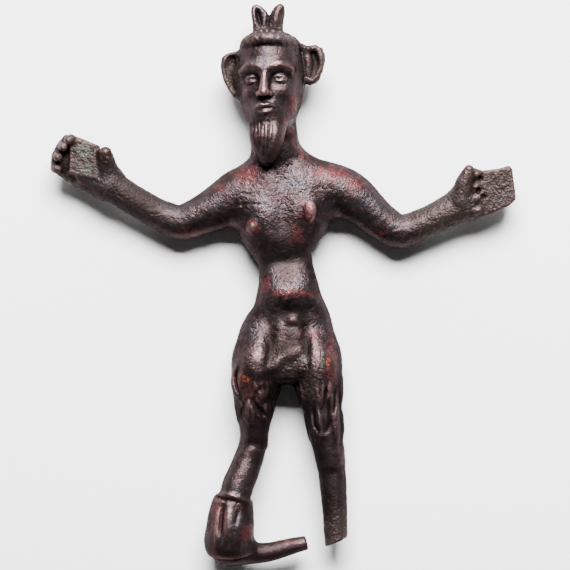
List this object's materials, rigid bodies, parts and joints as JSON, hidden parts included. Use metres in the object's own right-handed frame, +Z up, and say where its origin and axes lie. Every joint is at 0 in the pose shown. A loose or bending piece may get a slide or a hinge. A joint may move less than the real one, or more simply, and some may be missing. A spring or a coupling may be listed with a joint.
{
  "type": "bronze figure",
  "caption": "Small antique cast bronze satyr with arms spread wide, one leg broken at the shin and broken bars in the hands, lying on its back.",
  "frame": {"origin": "under the middle of the figure's box, on the surface that it lies on", "axes": "+Y towards the figure's head, +X across its spread arms towards its left hand, +Z up out of its front"},
  "size_m": [0.0916, 0.1102, 0.0165],
  "materials": {
    "bronze": "dark glossy patina over corroded bronze, with red cuprite patches"
  },
  "bodies": {
    "root": {"bronze_figure": "bronze"}
  },
  "joints": []
}
